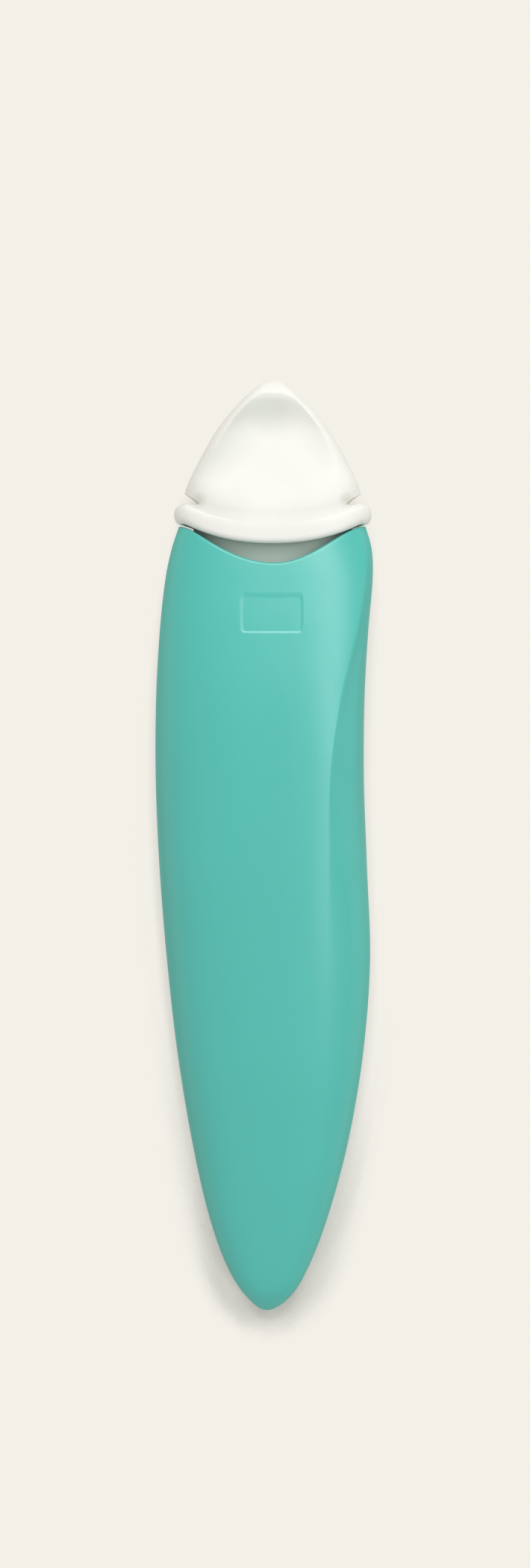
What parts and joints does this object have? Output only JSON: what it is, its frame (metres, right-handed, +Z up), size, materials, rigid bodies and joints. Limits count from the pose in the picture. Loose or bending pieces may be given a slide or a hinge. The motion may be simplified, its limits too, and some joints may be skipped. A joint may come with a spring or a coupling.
{
  "type": "chalk wheel marker",
  "caption": "Chalk wheel marker: ergonomic two-shell handle with finger scoop, pull-out chalk cartridge with toothed wheel, and dished pull-off cap.",
  "frame": {"origin": "on the handle's flat back, below the cartridge's axis, 50 mm behind the mouth's corners", "axes": "+Y along the handle towards the wheel, +Z up from the back to the dished, thumb side, +X to the right seen from above"},
  "size_m": [0.0352, 0.1506, 0.0205],
  "materials": {
    "handle_soft_touch": "mint soft-touch moulding, satin",
    "sleeve_plastic": "white moulded plastic",
    "tank_plastic": "frosted translucent plastic",
    "chalk": "fine white powder",
    "plug_rubber": "soft grey rubber",
    "nose_plastic": "white moulded plastic",
    "wheel_steel": "bright steel with cut teeth",
    "cap_plastic": "white, slightly translucent plastic, satin"
  },
  "bodies": {
    "handle": {"handle_upper_shell": "handle_soft_touch", "handle_lower_shell": "handle_soft_touch", "socket_sleeve": "sleeve_plastic"},
    "cartridge": {"cartridge_tank": "tank_plastic", "chalk_powder": "chalk", "nose_left_half": "nose_plastic", "nose_right_half": "nose_plastic", "axle_pin": "wheel_steel"},
    "wheel": {"toothed_wheel": "wheel_steel"},
    "plug": {"filler_plug": "plug_rubber"},
    "cap": {"cap": "cap_plastic"}
  },
  "joints": [
    {"name": "cartridge_slide", "type": "slide", "parent": "handle", "child": "cartridge", "axis": [0, 1, 0], "range_m": [0, 0.055]},
    {"name": "cap_slide", "type": "slide", "parent": "cartridge", "child": "cap", "axis": [0, 1, 0], "range_m": [0, 0.03]},
    {"name": "wheel_spin", "type": "hinge", "parent": "cartridge", "child": "wheel", "pos_m": [0, 0.063, 0.008], "axis": [1, 0, 0], "continuous": true},
    {"name": "plug_slide", "type": "slide", "parent": "cartridge", "child": "plug", "axis": [0, -1, 0], "range_m": [0, 0.008]}
  ]
}
